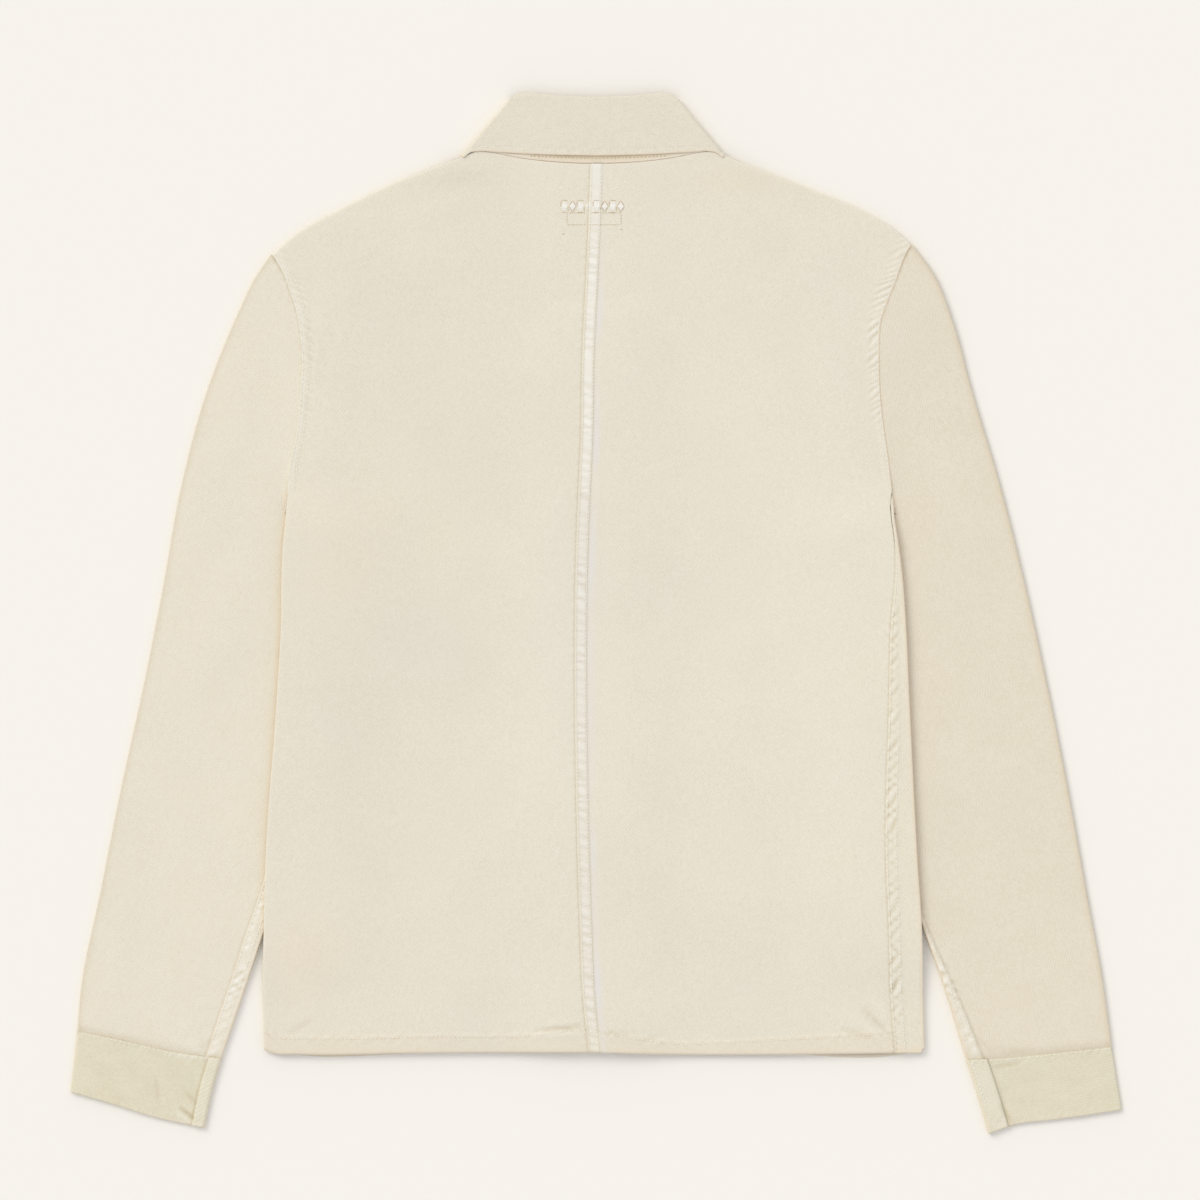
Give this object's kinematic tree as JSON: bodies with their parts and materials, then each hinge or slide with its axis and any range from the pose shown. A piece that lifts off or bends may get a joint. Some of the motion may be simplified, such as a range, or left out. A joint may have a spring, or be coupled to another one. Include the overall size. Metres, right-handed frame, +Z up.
{
  "type": "field jacket",
  "caption": "Cotton twill field jacket laid flat with its back up: shirt collar, felled seams, set-in sleeves with lapped cuffs and a button front underneath.",
  "frame": {"origin": "on the surface the jacket lies on, under the middle of its bounding box", "axes": "+Z up out of the surface, the way the back faces; +Y from the hem towards the collar; +X to the right as the back is seen, so the longest extent lies along X and the shortest along Z"},
  "size_m": [0.7987, 0.7911, 0.0111],
  "materials": {
    "twill_back": "ecru cotton twill",
    "twill_front": "ecru cotton twill",
    "twill_sleeve": "ecru cotton twill, slightly warmer",
    "twill_cuff": "ecru cotton twill, slightly greener",
    "twill_stand": "ecru cotton twill",
    "twill_fall": "ecru cotton twill",
    "button": "satin horn-like plastic, guessed"
  },
  "bodies": {
    "root": {"back_left": "twill_back", "back_right": "twill_back", "front_left": "twill_front", "front_right": "twill_front", "sleeve_left": "twill_sleeve", "sleeve_right": "twill_sleeve", "cuff_left": "twill_cuff", "cuff_right": "twill_cuff", "collar_stand": "twill_stand", "collar_fall": "twill_fall", "button_1": "button", "button_2": "button", "button_3": "button", "button_4": "button", "button_5": "button", "button_6": "button"}
  },
  "joints": []
}
